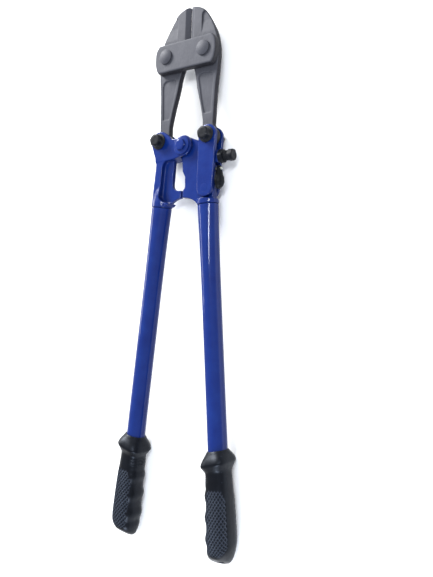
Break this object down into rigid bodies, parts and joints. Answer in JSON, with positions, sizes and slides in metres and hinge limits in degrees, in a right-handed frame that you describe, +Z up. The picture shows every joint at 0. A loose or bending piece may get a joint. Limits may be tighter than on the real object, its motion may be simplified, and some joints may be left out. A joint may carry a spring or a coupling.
{
  "type": "bolt cutters",
  "caption": "Long-handled bolt cutters with forged jaws, link plates, a folding handle joint, tubular handles with moulded grips and a blade adjuster.",
  "frame": {"origin": "centre of the bounding box in X and Y, on the surface that the tool lies on", "axes": "+Y from the grips towards the blade tips, +X across the tool towards the arm with the adjuster, +Z up through the thickness"},
  "size_m": [0.1624, 0.612, 0.0364],
  "materials": {
    "forged_steel": "grey forged tool steel with a fine grain",
    "blue_enamel": "glossy royal blue enamel with a light orange peel",
    "black_oxide": "oiled black oxide",
    "grip_rubber": "matte black moulded rubber",
    "zinc_plate": "zinc plate"
  },
  "bodies": {
    "left_arm": {"left_casting": "blue_enamel", "left_tube": "blue_enamel", "left_grip": "grip_rubber", "left_tail_bolt": "black_oxide", "left_tail_nut": "black_oxide", "left_tail_front_washer": "black_oxide", "left_tail_rear_washer": "black_oxide", "fulcrum_bolt": "blue_enamel", "fulcrum_nut": "blue_enamel", "fulcrum_front_washer": "blue_enamel", "fulcrum_rear_washer": "blue_enamel", "fulcrum_bushing": "zinc_plate"},
    "right_arm": {"right_casting": "blue_enamel", "right_tube": "blue_enamel", "right_grip": "grip_rubber", "lever_stud": "zinc_plate"},
    "left_jaw": {"left_jaw": "forged_steel"},
    "link_plates": {"front_link_plate": "forged_steel", "rear_link_plate": "forged_steel", "left_pivot_bolt": "forged_steel", "right_pivot_bolt": "forged_steel", "left_pivot_nut": "black_oxide", "right_pivot_nut": "black_oxide"},
    "right_jaw": {"right_jaw": "forged_steel"},
    "side_links": {"front_side_link": "blue_enamel", "rear_side_link": "blue_enamel", "side_link_rivet": "blue_enamel", "screw_block": "blue_enamel", "right_tail_bolt": "black_oxide", "right_tail_nut": "black_oxide", "right_tail_front_washer": "black_oxide", "right_tail_rear_washer": "black_oxide"},
    "adjusting_screw": {"adjusting_screw": "black_oxide"},
    "lock_nut": {"lock_nut": "black_oxide"},
    "lock_lever": {"lock_lever": "black_oxide"}
  },
  "joints": [
    {"name": "handle_fold", "type": "hinge", "parent": "left_arm", "child": "right_arm", "pos_m": [0, 0.1445, 0.0182], "axis": [0, 0, 1], "range_deg": [0, 80]},
    {"name": "left_jaw_tail", "type": "hinge", "parent": "left_arm", "child": "left_jaw", "pos_m": [-0.033, 0.1526, 0.0182], "axis": [0, 0, 1], "range_deg": [0, 47.7]},
    {"name": "left_jaw_pivot", "type": "hinge", "parent": "left_jaw", "child": "link_plates", "pos_m": [-0.0258, 0.249, 0.0182], "axis": [0, 0, 1], "range_deg": [-7.7, 0]},
    {"name": "right_jaw_pivot", "type": "hinge", "parent": "link_plates", "child": "right_jaw", "pos_m": [0.0258, 0.249, 0.0182], "axis": [0, 0, 1], "range_deg": [-7.7, 0]},
    {"name": "side_link_swing", "type": "hinge", "parent": "right_arm", "child": "side_links", "pos_m": [0.0319, 0.0945, 0.0182], "axis": [0, 0, -1], "range_deg": [0, 0.81]},
    {"name": "adjusting_screw_turn", "type": "hinge", "parent": "side_links", "child": "adjusting_screw", "pos_m": [0.05, 0.129, 0.0182], "axis": [-1, 0, 0], "range_deg": [0, 140]},
    {"name": "lock_nut_turn", "type": "hinge", "parent": "side_links", "child": "lock_nut", "pos_m": [0.048, 0.129, 0.0182], "axis": [1, 0, 0], "range_deg": [0, 90]},
    {"name": "lock_lever_swing", "type": "hinge", "parent": "right_arm", "child": "lock_lever", "pos_m": [0.046, 0.1158, 0.0182], "axis": [1, 0, 0], "range_deg": [-70, 70]}
  ],
  "couplings": [
    {"joint": "left_jaw_tail", "follows": "handle_fold", "ratio": 0.59585},
    {"joint": "left_jaw_pivot", "follows": "handle_fold", "ratio": -0.09585},
    {"joint": "right_jaw_pivot", "follows": "handle_fold", "ratio": -0.09585},
    {"joint": "side_link_swing", "follows": "adjusting_screw_turn", "ratio": 0.005714}
  ]
}
